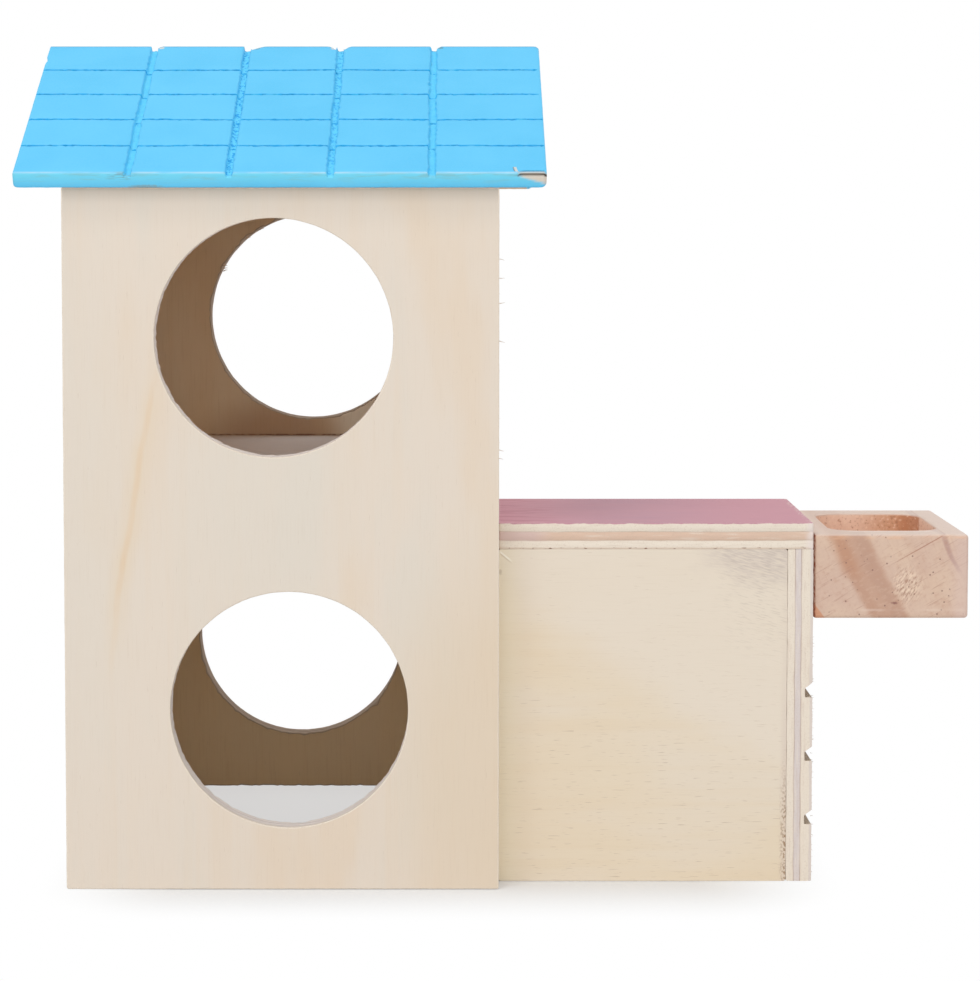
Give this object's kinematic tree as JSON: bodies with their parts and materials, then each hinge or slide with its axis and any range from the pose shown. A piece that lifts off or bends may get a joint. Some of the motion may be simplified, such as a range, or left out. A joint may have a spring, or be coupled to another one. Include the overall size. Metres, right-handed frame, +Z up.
{
  "type": "hamster house",
  "caption": "Wooden hamster tower house with round doorways, a lift-off gable roof, an annex under a terrace with climbing steps, and a feeding bowl.",
  "frame": {"origin": "on the ground, under the middle of the house's overall length and depth", "axes": "+X from the tower to the feeding bowl, -Y is the front, +Z up"},
  "size_m": [0.2014, 0.1172, 0.1804],
  "materials": {
    "bare_plywood": "unfinished pale plywood, lightly sanded, layered at its edges",
    "blue_paint": "matte sky-blue water paint on plywood, underside bare",
    "pink_paint": "matte dusty-pink stain on plywood, edges bare",
    "solid_pine": "sanded solid pine, untreated"
  },
  "bodies": {
    "house": {"front_wall": "bare_plywood", "back_wall": "bare_plywood", "left_wall": "bare_plywood", "right_wall": "bare_plywood", "upper_floor": "bare_plywood", "annex_front_wall": "bare_plywood", "annex_back_wall": "bare_plywood", "annex_end_wall": "bare_plywood", "terrace": "pink_paint", "feeding_bowl": "solid_pine"},
    "roof": {"front_roof": "blue_paint", "back_roof": "blue_paint"}
  },
  "joints": [
    {"name": "roof_lift", "type": "slide", "parent": "house", "child": "roof", "axis": [0, 0, 1], "range_m": [0, 0.04]}
  ]
}
